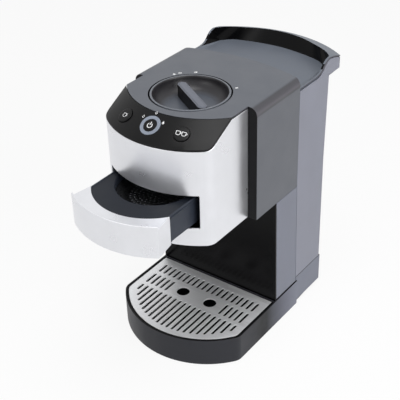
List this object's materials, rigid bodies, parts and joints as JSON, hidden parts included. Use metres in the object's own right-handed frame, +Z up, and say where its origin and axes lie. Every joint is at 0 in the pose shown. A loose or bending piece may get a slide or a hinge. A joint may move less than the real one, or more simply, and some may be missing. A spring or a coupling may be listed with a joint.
{
  "type": "pod coffee machine",
  "caption": "Pod coffee machine with an open pod drawer, dished brew knob, sloping key panel, slotted drip grid and a lift-off rear water tank.",
  "frame": {"origin": "on the surface it stands on, below the middle of its box with the pod drawer pulled out", "axes": "+X to the machine's own left, seen from its front to the right; +Y from its front to its water tank; +Z up"},
  "size_m": [0.153, 0.3216, 0.284],
  "materials": {
    "aluminium": "as cast",
    "black_plastic": "satin black",
    "board": "solder mask",
    "brass": "plain",
    "dark_plastic": "fine satin grey moulding",
    "frame_plastic": "glass-filled, matt",
    "gloss_black": "polished black",
    "hose": "silicone",
    "key_metal": "tin plated",
    "knob_plastic": "satin charcoal",
    "pump_plastic": "moulded",
    "ring_plastic": "frosted light guide",
    "rubber": "matt",
    "silver_plastic": "satin silver lacquer",
    "steel": "brushed",
    "tank_plastic": "fine satin lilac-grey moulding",
    "tray_plastic": "fine satin blue-grey"
  },
  "bodies": {
    "chassis": {"base_housing": "dark_plastic", "base_plate": "black_plastic", "base_screws": "steel", "feet": "rubber", "cord_gland": "rubber", "column_housing": "dark_plastic", "column_front": "gloss_black", "head_frame": "frame_plastic", "head_floor": "black_plastic", "front_shell": "silver_plastic", "head_cover": "dark_plastic", "control_panel": "gloss_black", "power_ring": "ring_plastic", "key_carrier": "board", "key_switches": "key_metal", "brew_housing": "frame_plastic", "drawer_rails": "black_plastic", "coffee_spout": "black_plastic", "boiler": "aluminium", "thermostat": "brass", "pump": "pump_plastic", "pump_mounts": "rubber", "main_board": "board", "suction_hose": "hose", "pressure_hose": "hose", "brew_hose": "hose", "tank_socket": "black_plastic"},
    "drawer": {"drawer_front": "silver_plastic", "drawer_tray": "tray_plastic", "pod_sieve": "steel"},
    "knob": {"knob": "knob_plastic", "knob_shaft": "steel"},
    "piston": {"brew_piston": "steel", "piston_seal": "rubber", "shower_screen": "steel", "return_springs": "steel"},
    "one_cup_key": {"one_cup_button": "black_plastic"},
    "power_key": {"power_button": "black_plastic"},
    "two_cup_key": {"two_cup_button": "black_plastic"},
    "basin": {"drip_tray": "black_plastic"},
    "grid": {"drip_grid": "steel"},
    "tank": {"water_tank": "tank_plastic", "tank_valve": "black_plastic", "tank_seal": "rubber"},
    "lid": {"tank_lid": "dark_plastic"}
  },
  "joints": [
    {"name": "drawer_slide", "type": "slide", "parent": "chassis", "child": "drawer", "axis": [0, 1, 0], "range_m": [0, 0.06]},
    {"name": "knob_turn", "type": "hinge", "parent": "chassis", "child": "knob", "pos_m": [0, -0.02375, 0.266], "axis": [0, 0, 1], "range_deg": [-105, 0]},
    {"name": "piston_slide", "type": "slide", "parent": "chassis", "child": "piston", "axis": [0, 0, 1], "range_m": [-0.003, 0], "deforming": ["return_springs"]},
    {"name": "one_cup_press", "type": "slide", "parent": "chassis", "child": "one_cup_key", "axis": [0.2053, 0.5074, -0.8369], "range_m": [0, 0.001], "stiffness_N_per_m": 400, "springref_m": -0.001},
    {"name": "power_press", "type": "slide", "parent": "chassis", "child": "power_key", "axis": [0, 0.534, -0.8455], "range_m": [0, 0.001], "stiffness_N_per_m": 400, "springref_m": -0.001},
    {"name": "two_cup_press", "type": "slide", "parent": "chassis", "child": "two_cup_key", "axis": [-0.2053, 0.5074, -0.8369], "range_m": [0, 0.001], "stiffness_N_per_m": 400, "springref_m": -0.001},
    {"name": "basin_lift", "type": "slide", "parent": "chassis", "child": "basin", "axis": [0, 0, 1], "range_m": [0, 0.035]},
    {"name": "grid_lift", "type": "slide", "parent": "basin", "child": "grid", "axis": [0, 0, 1], "range_m": [0, 0.04]},
    {"name": "tank_lift", "type": "slide", "parent": "chassis", "child": "tank", "axis": [0, 0, 1], "range_m": [0, 0.05]},
    {"name": "lid_lift", "type": "slide", "parent": "tank", "child": "lid", "axis": [0, 0, 1], "range_m": [0, 0.04]}
  ],
  "couplings": [
    {"joint": "piston_slide", "follows": "knob_turn", "m_per_rad": 0.001637}
  ]
}
